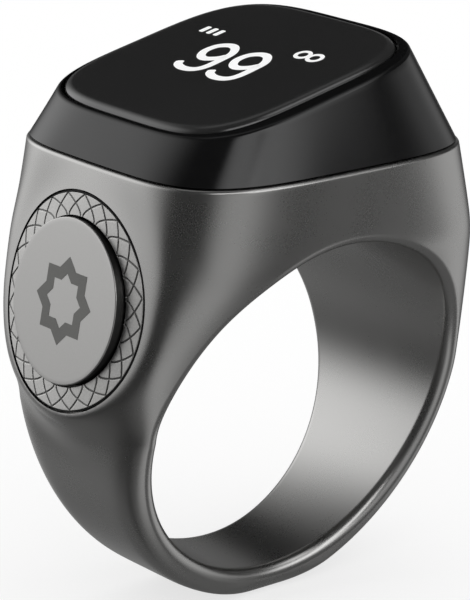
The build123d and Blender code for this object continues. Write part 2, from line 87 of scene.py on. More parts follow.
def length(name, description, millimetres):
    """Length property, written in millimetres and kept in metres."""
    return bpy.props.FloatProperty(
        name=name, description=description, default=millimetres * MM, unit="LENGTH", precision=5
    )


def angle(name, description, degrees):
    """Angle property, written in degrees and kept in radians."""
    return bpy.props.FloatProperty(
        name=name, description=description, default=np.radians(degrees), subtype="ANGLE"
    )


def colour(name, description, value):
    """Linear colour property."""
    return bpy.props.FloatVectorProperty(
        name=name, description=description, default=value, subtype="COLOR", size=3, min=0.0, max=1.0
    )


class ShankSettings(bpy.types.PropertyGroup):
    """Sizes of the metal body."""

    bore_radius: length("Bore radius", "Half the finger bore", 10.0)
    shank_radius: length("Shank radius", "Outside of the round shank", 11.646)
    rim_radius: length("Rim radius", "Rounding where the bore meets the faces", 0.6)
    seam_height: length("Seam height", "Height of the seam above the bore's axis", 14.1)
    seam_bevel: length("Seam shoulder", "Rounding of the body along the seam", 0.2)
    head_width: length("Head width", "Width of the head at the seam", 20.6)
    head_depth: length("Head depth", "Depth of the head at the seam", 18.92)
    face_middle: length("Face at mid height", "Half depth of the faces beside the bore's axis", 6.12)
    pad_tilt: angle("Pad tilt", "Lean of the button side", 11.2)
    pad_reach: length("Pad reach", "Distance of the button side from the bore's axis", 12.89)
    pad_rise: length("Pad rise", "Button centre above the axis, along its face", 4.45)
    pad_radius: length("Pad radius", "Round raised land about the button", 6.05)
    pad_fall: length("Pad fall", "Width over which the land eases into the shank", 2.8)
    pad_hold: length("Pad hold", "Rise at which the easing land is held to half", 0.8)
    pad_bow: length("Pad bow", "Radius of the face's bow across the ring", 40.0)
    cavity_width: length("Cavity width", "Room for the electronics, across", 16.4)
    cavity_depth: length("Cavity depth", "Room for the electronics, along the bore", 16.0)
    cavity_floor: length("Cavity floor", "Height of the cavity's floor", 11.2)


class HoodSettings(bpy.types.PropertyGroup):
    """Sizes of the black hood and its lens."""

    tilt: angle("Lens tilt", "Rise of the lens away from the button", 12.7)
    lens_offset: length("Lens offset", "Lens centre from the bore's axis, across", -0.876)
    lens_height: length("Lens height", "Lens centre above the bore's axis", 18.256)
    lens_width: length("Lens width", "Across the ring", 15.18)
    lens_depth: length("Lens depth", "Along the bore", 14.91)
    lens_thickness: length("Lens thickness", "Glass plate", 1.0)
    lens_proud: length("Lens proud", "Height of the lens above the hood's rim", 0.23)
    lens_edge: length("Lens edge", "Rounding of the lens", 0.48)
    lens_back: length("Lens back", "Further reach of the lens at the far side", 0.7)
    lens_gap: length("Lens gap", "Dark line between the lens and the hood", 0.13)
    rim_width: length("Rim width", "Hood beside the lens, across", 0.39)
    rim_depth: length("Rim depth", "Hood beside the lens, along the bore", 1.035)
    edge: length("Hood edge", "Rounding of the hood's upper edge", 0.16)


class ButtonSettings(bpy.types.PropertyGroup):
    """Sizes of the button and the engraved ring about it."""

    radius: length("Button radius", "Pressed disc", 4.46)
    proud: length("Button proud", "Height of the disc above its land", 0.33)
    edge: length("Button edge", "Rounding of the disc", 0.06)
    ornament_radius: length("Ornament radius", "Outside of the engraved ring", 5.86)
    ornament_thickness: length("Ornament thickness", "Depth of the engraved ring", 0.7)
    clearance: length("Clearance", "Running gap round the button", 0.12)
    arches: bpy.props.IntProperty(name="Arches", description="Pointed arches round the ring", default=24)
    line_width: length("Line width", "Engraved line", 0.072)
    line_depth: length("Line depth", "Depth of the engraved line", 0.05)
    line_tone: bpy.props.FloatProperty(name="Line tone", description="Darkness of the arches", default=0.72)
    star_radius: length("Star radius", "Eight-pointed star on the disc", 2.4)


class FinishSettings(bpy.types.PropertyGroup):
    """Colours a user would change."""

    metal: colour("Metal", "Satin dark metal of the body", (0.42, 0.417, 0.41))
    disc: colour("Disc", "Satin button disc", (0.46, 0.456, 0.448))
    ornament: colour("Ornament", "Bright ground of the engraving", (0.55, 0.546, 0.535))
    # The line colour also paints the shade on the button's wall.
    line: colour("Line", "Blackened engraving", (0.015, 0.015, 0.015))
    star: colour("Star", "Dark inlay of the star", (0.085, 0.085, 0.08))
    hood: colour("Hood", "Gloss black plastic", (0.003, 0.003, 0.0032))
    lens: colour("Lens", "Smoked lens", (0.0165, 0.0165, 0.0165))
    glow: colour("Glow", "Lit display marks", (0.75, 0.75, 0.75))


class StageSettings(bpy.types.PropertyGroup):
    """Camera, floor and studio tent."""

    azimuth: angle("Azimuth", "Camera turn about the upright axis", -39.1123)
    elevation: angle("Elevation", "Camera height angle", 17.2669)
    roll: angle("Roll", "Camera roll", 0.6595)
    distance: length("Distance", "Camera to target", 173.0248)
    aim_right: length("Aim right", "Target shift to the right", -0.2796)
    aim_up: length("Aim up", "Target shift upwards", 4.5182)
    lens: bpy.props.FloatProperty(
        name="Lens", description="Focal length on a 36 mm high sensor", default=186.06
    )
    floor_radius: length("Floor radius", "White floor", 1500.0)
    tent_radius: length("Tent radius", "Studio tent seen in gloss", 800.0)


class RingSettings(bpy.types.PropertyGroup):
    """All settings of the ring."""

    shank: bpy.props.PointerProperty(type=ShankSettings)
    hood: bpy.props.PointerProperty(type=HoodSettings)
    button: bpy.props.PointerProperty(type=ButtonSettings)
    finish: bpy.props.PointerProperty(type=FinishSettings)
    stage: bpy.props.PointerProperty(type=StageSettings)


# Shapes


def full_turn(count):
    """Evenly spaced turns of a closed ring of points."""
    return np.arange(count) / count * TURN


def smooth(value, low, high):
    """Cubic step: 0 below low, 1 above high, three t squared less two t cubed between."""
    t = np.clip((value - low) / (high - low), 0.0, 1.0)
    return t * t * (3 - 2 * t)


def unit(vectors):
    """Vectors of the last axis brought to length one."""
    return vectors / np.linalg.norm(vectors, axis=-1, keepdims=True)


def half_depth(s, z):
    """Half depth of the body at height z: a leaning parabola that meets the upright head in a soft minimum,
    less a quarter round of one millimetre at the bottom of the shank. It is worked in millimetres."""
    slope = 0.32
    curve = 0.0045
    blend = 0.35
    high = z / MM
    flank = s.face_middle / MM + slope * high + curve * high**2
    top = s.head_depth / MM / 2
    under = np.clip(1 - (high + s.shank_radius / MM), 0.0, 1.0)
    edge = 1 - np.sqrt(1 - under**2)
    return MM * (0.5 * (flank + top - np.sqrt((flank - top) ** 2 + blend**2)) - edge)


def right_half(s, z):
    """Half width on the plain side: the shank's circle, then its tangent line up to the seam."""
    half = s.head_width / 2
    reach = np.sqrt(s.seam_height**2 + half**2 - s.shank_radius**2)
    lean = (s.seam_height - reach) / (half + s.shank_radius)
    tangent = s.shank_radius * 2 * lean / (1 + lean**2)
    start = np.sqrt(s.shank_radius**2 - tangent**2)
    line = start + (half - start) * (z - tangent) / (s.seam_height - tangent)
    circle = np.sqrt(np.maximum(s.shank_radius**2 - z**2, 0.0))
    return np.where(z < tangent, circle, line)


def left_half(s, z):
    """Half width on the button side: the plain side below, the leaning pad above, a cubic step between."""
    pad_start = 0.5 * MM
    pad_full = 6.5 * MM
    plain = right_half(s, z)
    pad = (s.pad_reach - z * np.sin(s.pad_tilt)) / np.cos(s.pad_tilt)
    return plain + (pad - plain) * smooth(z, pad_start, pad_full)


def roundness(s, z, right):
    """Exponent of the level section. Its softness grows from the shank's to the seam's, by a quarter sine on
    the button side and by the power 1.5 on the right."""
    rise = np.clip(z / s.seam_height, 0.0, 1.0)
    share = np.where(right, rise**1.5, np.sin(np.pi / 2 * rise))
    return 1 / (SHANK_SOFTNESS + (SEAM_SOFTNESS - SHANK_SOFTNESS) * share)


def graded(turn):
    """Turn plus a share of the sine of four turns, so that points gather at the corners."""
    return turn + GATHER * np.sin(4 * turn)


def unit_curve(turn, power):
    """Unit superellipse at the graded turn: the cosine and the sine, each divided by the root of the sum of
    their powers."""
    c = np.cos(graded(turn))
    d = np.sin(graded(turn))
    rho = (np.abs(c) ** power + np.abs(d) ** power) ** (-1 / power)
    return rho * c, rho * d


def pad_frame(s):
    """Centre, across, up and out vectors of the button side."""
    out = np.array([-np.cos(s.pad_tilt), 0.0, np.sin(s.pad_tilt)])
    up = np.array([np.sin(s.pad_tilt), 0.0, np.cos(s.pad_tilt)])
    across = np.array([0.0, -1.0, 0.0])
    return out * s.pad_reach + up * s.pad_rise, across, up, out


def land(s, x, y, z):
    """Raises the button side to its bowed plane: full within the pad's radius, easing off over its fall,
    where a tall rise is held back so that the corners keep their rounding."""
    centre = pad_frame(s)[0]
    plane = -(s.pad_reach - z * np.sin(s.pad_tilt) - y**2 / (2 * s.pad_bow)) / np.cos(s.pad_tilt)
    away = np.hypot(y, (z - centre[2]) / np.cos(s.pad_tilt))
    inside = 1 - smooth(away, s.pad_radius, s.pad_radius + s.pad_fall)
    rise = plane - x
    held = 1 + (1 - inside) * np.abs(rise) / s.pad_hold
    return np.where(x < 0, x + rise * inside / held, x)


def body_outline(s, turn, z):
    """Level section of the body: a superellipse with its own half widths left and right, and the raised
    land."""
    along, across = unit_curve(turn, roundness(s, z, np.cos(turn) > 0))
    y = across * half_depth(s, z)
    x = along * np.where(along > 0, right_half(s, z), left_half(s, z))
    return np.stack(np.broadcast_arrays(land(s, x, y, z), y, z), axis=-1)


def drawn_in(ring, inset, z):
    """Level ring of points moved towards the middle by the inset, at the height z."""
    flat = ring * [1, 1, 0]
    size = np.linalg.norm(flat, axis=-1, keepdims=True)
    return flat * (1 - inset / size) + z * UPRIGHT


def face_depth(s, x, z):
    """Half depth of the body where it is x across and z up, found by halving the span of the level section
    forty times."""
    top = half_depth(s, z)
    power = roundness(s, z, x > 0)
    low = np.zeros_like(x)
    high = top
    for _ in range(40):
        middle = 0.5 * (low + high)
        along = (1 - np.clip(middle / top, 0.0, 1.0) ** power) ** (1 / power)
        left = land(s, -along * left_half(s, z), middle, z)
        edge = np.where(x > 0, along * right_half(s, z), -left)
        inside = edge > np.abs(x)
        low = np.where(inside, middle, low)
        high = np.where(inside, high, middle)
    return 0.5 * (low + high)


def lens_frame(h, drop=0.0):
    """Centre, across, along and out vectors of the lens plane, lowered by drop along its normal."""
    across = np.array([np.cos(h.tilt), 0.0, np.sin(h.tilt)])
    out = np.array([-np.sin(h.tilt), 0.0, np.cos(h.tilt)])
    centre = np.array([h.lens_offset, 0.0, h.lens_height])
    return centre - out * drop, across, ALONG, out


def soft_plate(place, turn, half_w, half_d, softness, back=0.0):
    """Superellipse of these half sizes laid on a plane, its far half longer by back."""
    x, y = unit_curve(turn, 1 / softness)
    deep = y * np.where(y > 0, half_d + back, half_d)
    centre, across, along = place[:3]
    return centre + half_w * x[..., None] * across + deep[..., None] * along


def round_box(place, turn, half_w, half_d, corner):
    """Rectangle with round corners: the support point of the turn's direction, a core corner plus a corner
    arc. A short ramp of the cosine and sine spreads points along the straight sides."""
    ramp = 0.06
    c = np.cos(graded(turn))
    d = np.sin(graded(turn))
    x = (half_w - corner) * np.clip(c / ramp, -1, 1) + corner * c
    y = (half_d - corner) * np.clip(d / ramp, -1, 1) + corner * d
    centre, across, along = place[:3]
    return centre + x[..., None] * across + y[..., None] * along


def lathe(place, turn, profile):
    """Rings of a profile of (radius, height) turned about a plane's normal."""
    centre, across, along, out = place
    radius = profile[:, 0, None, None]
    height = profile[:, 1, None, None]
    ring = np.cos(turn)[:, None] * across + np.sin(turn)[:, None] * along
    return centre + radius * ring + height * out


def arc_points(centre, radius, start, end, count):
    """Arc of (radius, height) points about a centre, from one angle to another in degrees."""
    turn = np.radians(np.linspace(start, end, count))
    return np.stack([centre[0] + radius * np.cos(turn), centre[1] + radius * np.sin(turn)], axis=-1)


# Meshes


def skin(name, rows, loop=False):
    """Closed mesh of a grid of points: quads between neighbouring rings, which are joined end to end. With
    loop the last ring meets the first; without it each end closes in a fan about the ring's middle."""
    count, round_ = rows.shape[:2]
    index = np.arange(count * round_).reshape(count, round_)
    lower = index if loop else index[:-1]
    upper = np.roll(index, -1, axis=0) if loop else index[1:]
    corners = [lower, np.roll(lower, -1, 1), np.roll(upper, -1, 1), upper]
    quads = np.stack(corners, axis=-1).reshape(-1, 4)
    points = rows.reshape(-1, 3)
    fans = np.empty((0, 3), int)
    if not loop:
        points = np.concatenate([points, rows[0].mean(0)[None], rows[-1].mean(0)[None]])
        first, last = index[0], index[-1]
        begin = np.stack([np.roll(first, -1), first, np.full(round_, count * round_)], axis=-1)
        end = np.stack([last, np.roll(last, -1), np.full(round_, count * round_ + 1)], axis=-1)
        fans = np.concatenate([begin, end])
    mesh = bpy.data.meshes.new(name)
    used = np.concatenate([quads.ravel(), fans.ravel()])
    totals = np.concatenate([np.full(len(quads), 4), np.full(len(fans), 3)])
    mesh.vertices.add(len(points))
    mesh.vertices.foreach_set("co", points.astype(np.float32).ravel())
    mesh.loops.add(len(used))
    mesh.loops.foreach_set("vertex_index", used.astype(np.int32))
    mesh.polygons.add(len(totals))
    mesh.polygons.foreach_set("loop_start", (np.cumsum(totals) - totals).astype(np.int32))
    mesh.update(calc_edges=True)
    return mesh


def outward(mesh):
    """Turns the faces of a closed mesh outwards: the signed volume under its triangles is made positive."""
    mesh.calc_loop_triangles()
    points = np.empty(len(mesh.vertices) * 3, np.float32)
    mesh.vertices.foreach_get("co", points)
    points = points.reshape(-1, 3).astype(float)
    points -= points.mean(0)
    corners = np.empty(len(mesh.loop_triangles) * 3, np.int32)
    mesh.loop_triangles.foreach_get("vertices", corners)
    a, b, c = points[corners.reshape(-1, 3)].transpose(1, 0, 2)
    if np.einsum("ij,ij->", a, np.cross(b, c)) < 0:
        mesh.flip_normals()
    return mesh


def placed(name, data):
    """Object of a mesh or a camera, linked to the scene."""
    made = bpy.data.objects.new(name, data)
    bpy.context.scene.collection.objects.link(made)
    return made


def piece(mesh, material, body, node=None, sharp=35):
    """Object of a finished mesh: smooth but for edges sharper than the limit in degrees, riding on a body of
    the ring and, where one is named, standing for a node."""
    outward(mesh)
    mesh.shade_smooth()
    mesh.set_sharp_from_angle(angle=np.radians(sharp))
    made = placed(mesh.name, mesh)
    made.data.materials.append(material)
    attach(made, body)
    if node:
        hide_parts(node)


def carve(mesh, cutters):
    """Takes closed cutters out of a closed mesh, one after another, and returns the carved mesh."""
    name = mesh.name
    blank = placed("blank", outward(mesh))
    for cutter in cutters:
        cut = blank.modifiers.new("cut", "BOOLEAN")
        cut.operation = "DIFFERENCE"
        cut.solver = "EXACT"
        cut.object = placed("cutter", outward(cutter))
    carved = bpy.data.meshes.new_from_object(blank.evaluated_get(bpy.context.evaluated_depsgraph_get()))
    for used in cutters + [mesh]:
        bpy.data.meshes.remove(used)
    carved.name = name
    return carved


def mark(mesh, name, values):
    """Vertex attribute of a mesh: the values in order, and nought for the vertices after them."""
    full = np.zeros(len(mesh.vertices), np.float32)
    full[: len(values)] = values
    mesh.attributes.new(name, "FLOAT", "POINT").data.foreach_set("value", full)


# Finishes


def math_node(tree, operation, *values):
    """Math node on sockets or numbers."""
    node = tree.nodes.new("ShaderNodeMath")
    node.operation = operation
    for socket, value in zip(node.inputs, values):
        if isinstance(value, bpy.types.NodeSocket):
            tree.links.new(value, socket)
        else:
            socket.default_value = value
    return node.outputs[0]


def noise(tree, place, scale, detail):
    """Noise of the given scale on a coordinate."""
    node = tree.nodes.new("ShaderNodeTexNoise")
    node.inputs["Scale"].default_value = scale
    node.inputs["Detail"].default_value = detail
    tree.links.new(place, node.inputs["Vector"])
    return node.outputs["Fac"]


def grain_finish(name, base, metallic, roughness, grain, contrast, spread, bump, specular=0.5):
    """Principled surface with fine grain: a noise of the grain's size lightens and darkens the colour, moves
    the roughness and lifts a bump; a second, thirty times broader noise adds slow patches."""
    patch = 30 * grain
    relief = 0.1 * grain
    smoothest = 0.02
    material = bpy.data.materials.new(name)
    material.use_nodes = True
    tree = material.node_tree
    shader = tree.nodes["Principled BSDF"]
    shader.inputs["Metallic"].default_value = metallic
    shader.inputs["Specular IOR Level"].default_value = specular
    place = tree.nodes.new("ShaderNodeTexCoord").outputs["Object"]
    fine = noise(tree, place, 1 / grain, 3.0)
    broad = noise(tree, place, 1 / patch, 2.0)
    both = math_node(tree, "MULTIPLY_ADD", fine, 0.5, math_node(tree, "MULTIPLY", broad, 0.5))
    tint = tree.nodes.new("ShaderNodeValToRGB")
    dark, light = tint.color_ramp.elements
    dark.position = NOISE_LOW
    dark.color = [c * (1 - contrast) for c in base] + [1]
    light.position = NOISE_HIGH
    light.color = [min(1, c * (1 + contrast)) for c in base] + [1]
    tree.links.new(both, tint.inputs[0])
    tree.links.new(tint.outputs[0], shader.inputs["Base Color"])
    gloss = tree.nodes.new("ShaderNodeMapRange")
    gloss.inputs["From Min"].default_value = NOISE_LOW
    gloss.inputs["From Max"].default_value = NOISE_HIGH
    gloss.inputs["To Min"].default_value = max(smoothest, roughness - spread)
    gloss.inputs["To Max"].default_value = roughness + spread
    tree.links.new(both, gloss.inputs["Value"])
    tree.links.new(gloss.outputs[0], shader.inputs["Roughness"])
    lift = tree.nodes.new("ShaderNodeBump")
    lift.inputs["Strength"].default_value = bump
    lift.inputs["Distance"].default_value = relief
    tree.links.new(fine, lift.inputs["Height"])
    tree.links.new(lift.outputs[0], shader.inputs["Normal"])
    return material


def darken_where_marked(material, attribute, dark):
    """Mixes a dark colour into a finish where a vertex attribute is high: the engraved lines and border of
    the ring, and the painted shade on the button's wall.
    """
    tree = material.node_tree
    shader = tree.nodes["Principled BSDF"]
    mask = tree.nodes.new("ShaderNodeAttribute")
    mask.attribute_name = attribute
    mix = tree.nodes.new("ShaderNodeMix")
    mix.data_type = "RGBA"
    was = shader.inputs["Base Color"].links[0].from_socket
    tree.links.new(mask.outputs["Fac"], mix.inputs["Factor"])
    tree.links.new(was, mix.inputs["A"])
    mix.inputs["B"].default_value = (*dark, 1)
    tree.links.new(mix.outputs["Result"], shader.inputs["Base Color"])


# Steps


class RING_OT_body(bpy.types.Operator):
    """Builds the metal body's skin with its bore, button pocket and cavity"""

    bl_idname = "ring.body"
    bl_label = "Metal body"

    def execute(self, context):
        s = context.scene.ring.shank
        b = context.scene.ring.button
        f = context.scene.ring.finish
        rows = body_outline(s, full_turn(400)[None, :], self.levels(s)[:, None])
        t = np.radians([22.5, 45, 67.5, 90])[:, None, None]
        shoulder = s.seam_height - s.seam_bevel * (1 - np.sin(t))
        top = drawn_in(rows[-1:], s.seam_bevel * (1 - np.cos(t)), shoulder)
        blank = skin("metal_body", np.concatenate([rows, top]))
        cutters = [self.bore(s), self.pocket(s, b), self.cavity(s)] + self.pin_seats(s)
        carved = carve(blank, cutters)
        metal = grain_finish(
            "satin_gunmetal", f.metal, metallic=1.0, roughness=0.28,
            grain=0.1 * MM, contrast=0.025, spread=0.015, bump=0.01,
        )
        piece(carved, metal, "ring", "ring_body", sharp=30)
        return {"FINISHED"}

    def levels(self, s):
        """Heights of the sections: even turns of the shank's circle below the axis, even steps above it."""
        first_turn = 3
        last_turn = 88
        low = -s.shank_radius * np.cos(np.radians(np.linspace(first_turn, last_turn, 70)))
        high = np.linspace(0, s.seam_height - s.seam_bevel, 80)
        return np.concatenate([low, high])

    def bore(self, s):
        """Bore cutter: a tube about the Y axis whose ends flare in an arc tangent to the faces. The face's
        lean in the radial plane sets the arc's middle and its sweep."""
        step = 0.1 * MM
        sunk = 0.004 * MM
        widening = 0.02 * MM
        past_faces = 14 * MM
        theta = full_turn(360)
        x = np.sin(theta)
        z = np.cos(theta)
        r = s.bore_radius
        rim = s.rim_radius
        reaches = [r + rim + d for d in (0, -step, step)]
        far, inner, outer = (face_depth(s, reach * x, reach * z) for reach in reaches)
        lean = (outer - inner) / (2 * step)
        middle = far - rim * np.sqrt(1 + lean**2) - sunk
        sweep = np.pi / 2 - np.arctan(lean)
        t = np.linspace(0, 1, 17)[:, None]
        radius = r + rim - rim * np.cos(t * sweep)
        depth = middle + rim * np.sin(t * sweep)
        radius = np.concatenate([radius, radius[-1:] + widening])
        depth = np.concatenate([depth, np.full_like(depth[:1], past_faces)])
        radius = np.concatenate([radius[::-1], radius])
        depth = np.concatenate([-depth[::-1], depth])
        return skin("bore", np.stack([radius * x, depth, radius * z], axis=-1))

    def pocket(self, s, b):
        """Stepped round pocket for the engraved ring and the button."""
        play = 0.09 * MM
        gasket = 0.25 * MM
        reach = 2 * MM
        narrow = 5.38 * MM
        wide = b.ornament_radius + play
        step = -b.ornament_thickness - gasket
        profile = np.array([[wide, reach], [wide, step], [narrow, step], [narrow, -reach]])
        return skin("pocket", lathe(pad_frame(s), full_turn(240), profile))

    def cavity(self, s):
        """Rounded room under the hood, cut through past the seam."""
        corner = 3.6 * MM
        past_seam = 3 * MM
        half = (s.cavity_width / 2, s.cavity_depth / 2, corner)
        levels = [z * UPRIGHT for z in (s.cavity_floor, s.seam_height + past_seam)]
        return skin("cavity", np.stack([round_box((z, ACROSS, ALONG), full_turn(96), *half) for z in levels]))

    def pin_seats(self, s):
        """Two round seats of the charging pins in the bore's roof."""
        radius = 1.2 * MM
        offset = 2 * MM
        above_floor = MM
        below_floor = 2.5 * MM
        ends = (s.cavity_floor + above_floor, s.cavity_floor - below_floor)
        profile = np.array([[radius, end] for end in ends])
        places = [(side * offset * ALONG, ACROSS, ALONG, UPRIGHT) for side in (-1, 1)]
        return [skin("seat", lathe(place, full_turn(64), profile)) for place in places]


class RING_OT_hood(bpy.types.Operator):
    """Builds the black hood and the smoked lens in it"""

    bl_idname = "ring.hood"
    bl_label = "Hood and lens"

    def execute(self, context):
        s = context.scene.ring.shank
        h = context.scene.ring.hood
        f = context.scene.ring.finish
        turn = full_turn(360)
        plastic = grain_finish(
            "gloss_black_plastic", f.hood, metallic=0.0, roughness=0.16,
            grain=0.3 * MM, contrast=0.2, spread=0.03, bump=0.015, specular=0.46,
        )
        hood = skin("display_hood", self.hood(s, h, turn), loop=True)
        piece(hood, plastic, "ring", "display_cap")
        smoked = grain_finish(
            "smoked_lens", f.lens, metallic=0.0, roughness=0.2,
            grain=0.4 * MM, contrast=0.1, spread=0.02, bump=0.01, specular=0.85,
        )
        piece(skin("smoked_window", self.lens(h, turn)), smoked, "ring", "display_lens")
        return {"FINISHED"}

    def hood(self, s, h, turn):
        """Straight lines from the seam's outline to the superellipse under the lens, a rounded upper edge,
        then the lens seat, the ledge, the room inside and the spigot, back to the seam."""
        fit = 0.05 * MM
        glue = 0.1 * MM
        ledge = 0.7 * MM
        ledge_corner = 2.6 * MM
        room_half = (7.45 * MM, 7.25 * MM, 2.9 * MM)
        room_top = 16.426 * MM
        spigot_corner = 3.55 * MM
        spigot_depth = 0.6 * MM
        tuck_in = 0.08 * MM
        overhang = 0.04 * MM
        seam_line = 0.1 * MM
        spigot_half = (s.cavity_width / 2 - fit, s.cavity_depth / 2 - fit, spigot_corner)
        foot = s.seam_height - spigot_depth
        half_w = h.lens_width / 2
        half_d = h.lens_depth / 2
        seat_half = (half_w + h.lens_gap, half_d + h.lens_gap, LENS_SOFTNESS, h.lens_back)
        rim_plane = lens_frame(h, h.lens_proud)
        ledge_plane = lens_frame(h, h.lens_thickness + glue)
        outline = body_outline(s, turn, np.full_like(turn, s.seam_height))
        tuck = drawn_in(outline, s.seam_bevel + tuck_in, s.seam_height)
        seam = drawn_in(outline, s.seam_bevel - overhang, s.seam_height + seam_line)
        crest = soft_plate(rim_plane, turn, half_w + h.rim_width, half_d + h.rim_depth, CREST_SOFTNESS)
        seat = soft_plate(rim_plane, turn, *seat_half)
        start = crest + unit(seam - crest) * h.edge
        end = crest + unit(seat - crest) * h.edge
        t = np.linspace(0, 1, 16)[:, None, None]
        wall = seam + (start - seam) * t
        k = np.linspace(0, 1, 9)[1:, None, None]
        edge = (1 - k) ** 2 * start + 2 * k * (1 - k) * crest + k**2 * end
        shelf = soft_plate(ledge_plane, turn, *seat_half)
        mouth = round_box(ledge_plane, turn, half_w - ledge, half_d - ledge, ledge_corner)
        level = (np.zeros(3), ACROSS, ALONG)
        room = round_box(level, turn, *room_half)
        roof = ledge_plane[0][2] + (room[:, 0] - ledge_plane[0][0]) * np.tan(h.tilt) - glue
        above = room + np.minimum(roof, room_top)[:, None] * UPRIGHT
        spigot = round_box(level, turn, *spigot_half)
        outer = np.concatenate([tuck[None], wall, edge])
        below = [room + foot * UPRIGHT, spigot + foot * UPRIGHT, spigot + s.seam_height * UPRIGHT]
        return np.concatenate([outer, np.stack([seat, shelf, mouth, above, *below])])

    def lens(self, h, turn):
        """Superellipse plate, longer at the far side: flat underside, upright wall, quarter-round edge, flat
        top."""
        wall = 0.3 * MM
        flat = np.array([0.8, 3.0, 6.0]) * MM
        wall_foot = -h.lens_edge - wall
        arc = arc_points((0.0, -h.lens_edge), h.lens_edge, 0, 90, 10)
        inset = np.concatenate([[0.0, 0.0], h.lens_edge - arc[:, 0], flat])
        height = np.concatenate([[-h.lens_thickness, wall_foot], arc[:, 1], np.zeros_like(flat)])
        centre, across, along, out = lens_frame(h)
        x, y = unit_curve(turn, 1 / LENS_SOFTNESS)
        wide = (h.lens_width / 2 - inset)[:, None] * x
        deep = ((h.lens_depth / 2 - inset)[:, None] + np.where(y > 0, h.lens_back, 0.0)) * y
        return centre + wide[..., None] * across + deep[..., None] * along + height[:, None, None] * out


class RING_OT_button(bpy.types.Operator):
    """Builds the pressed disc with its star, and the engraved ring about it"""

    bl_idname = "ring.button"
    bl_label = "Button and ornament"

    def execute(self, context):
        s = context.scene.ring.shank
        b = context.scene.ring.button
        f = context.scene.ring.finish
        place = pad_frame(s)
        self.disc(b, f, place)
        self.star(b, f, place)
        self.ornament(s, b, f, place)
        return {"FINISHED"}

    def disc(self, b, f, place):
        """Turned button: flat top, rounded edge, plain wall and a flange, hollow over the switch so that the
        full press leaves the dome free. Painted shade darkens the wall towards the line colour from nine
        tenths of the edge down."""
        pole = 0.02 * MM
        flange = 5.3 * MM
        flange_top = -0.73 * MM
        flange_foot = -1.13 * MM
        hollow = 1.6 * MM
        hollow_top = -1.05 * MM
        # Painted shade: share of the dark line colour mixed into the disc's wall and flange
        wall_shade_tone = 0.86
        turn = full_turn(240)
        rings = (pole, 1.5 * MM, 3.2 * MM, 4.2 * MM)
        flat = np.array([[radius, b.proud] for radius in rings])
        arc = arc_points((b.radius - b.edge, b.proud - b.edge), b.edge, 90, 0, 8)
        low = np.array(
            [
                [b.radius, flange_top],
                [flange, flange_top],
                [flange, flange_foot],
                [hollow, flange_foot],
                [hollow, hollow_top],
                [pole, hollow_top],
            ]
        )
        profile = np.concatenate([flat, arc, low])
        mesh = skin("button_disc", lathe(place, turn, profile))
        # Painted shade on the wall: every ring of the profile below nine tenths of the edge is marked for
        # darkening
        below = profile[:, 1] < b.proud - 0.9 * b.edge
        mark(mesh, "wall", wall_shade_tone * np.repeat(below, len(turn)))
        metal = grain_finish(
            "brushed_disc_shaded_wall", f.disc, metallic=1.0, roughness=0.36,
            grain=0.1 * MM, contrast=0.05, spread=0.04, bump=0.08,
        )
        darken_where_marked(metal, "wall", f.line)
        piece(mesh, metal, "button", "button_cap")

    def star(self, b, f, place):
        """Band between two like stars: the radius is the larger reach of a square and of one turned by an
        eighth, and the band runs from 0.62 of it to all of it, with a rectangular section."""
        inner = 0.62
        turn = full_turn(640)
        square = 1 / np.maximum(np.abs(np.cos(turn)), np.abs(np.sin(turn)))
        eighth = turn + np.pi / 4
        turned = 1 / np.maximum(np.abs(np.cos(eighth)), np.abs(np.sin(eighth)))
        reach = b.star_radius / np.sqrt(2) * np.maximum(square, turned)
        centre, across, up, out = place
        ring = np.cos(turn)[:, None] * across + np.sin(turn)[:, None] * up
        low = b.proud - MARK_SUNK
        high = b.proud + MARK_PROUD
        section = ((inner, low), (1.0, low), (1.0, high), (inner, high))
        rows = [centre + (scale * reach)[:, None] * ring + height * out for scale, height in section]
        inlay = grain_finish(
            "star_inlay", f.star, metallic=0.0, roughness=0.45,
            grain=0.1 * MM, contrast=0.15, spread=0.06, bump=0.1,
        )
        piece(skin("button_star", np.stack(rows), loop=True), inlay, "button")

    def ornament(self, s, b, f, place):
        """Engraved ring: a polar grid on the bowed land, lowered along two crossing families of lines that
        leave the inner edge radially and lean over, by a hyperbola of the radius, to pointed arches inside a
        border."""
        peak = 0.92
        bend = 0.2
        start = 0.08
        border = (0.925, 0.945)
        stroke = (0.3 * b.line_width, 0.75 * b.line_width)
        turn = full_turn(1440)
        inner = b.radius + b.clearance
        t = np.linspace(0, 1, 56)[:, None]
        radius = inner + (b.ornament_radius - inner) * t
        pitch = TURN / b.arches
        reach = np.hypot(1, bend) - bend
        lean = pitch * (start + (1 - start) * (np.hypot(t / peak, bend) - bend) / reach)
        gaps = [np.abs((turn - way * lean + pitch / 2) % pitch - pitch / 2) for way in (1, -1)]
        slope = np.gradient(lean[:, 0], radius[:, 0])[:, None]
        away = np.minimum(*gaps) * radius / np.sqrt(1 + (slope * radius) ** 2)
        line = 1 - smooth(away, *stroke)
        line = np.where(t < peak, b.line_tone * line, 0.0)
        line = np.maximum(line, smooth(t, *border))
        line[0] = 0
        centre, across, up, out = place
        x = radius * np.cos(turn)
        y = radius * np.sin(turn)
        height = -(x**2) / (2 * s.pad_bow) - b.line_depth * line
        face = centre + x[..., None] * across + y[..., None] * up + height[..., None] * out
        edges = np.array([[b.ornament_radius, -b.ornament_thickness], [inner, -b.ornament_thickness]])
        under = lathe(place, turn, edges)
        mesh = skin("engraved_ring", np.concatenate([face, under]), loop=True)
        mark(mesh, "line", line.ravel())
        engraved = grain_finish(
            "engraved_metal", f.ornament, metallic=1.0, roughness=0.42,
            grain=0.12 * MM, contrast=0.2, spread=0.08, bump=0.25,
        )
        darken_where_marked(engraved, "line", f.line)
        piece(mesh, engraved, "ring", "ornament_ring", sharp=50)


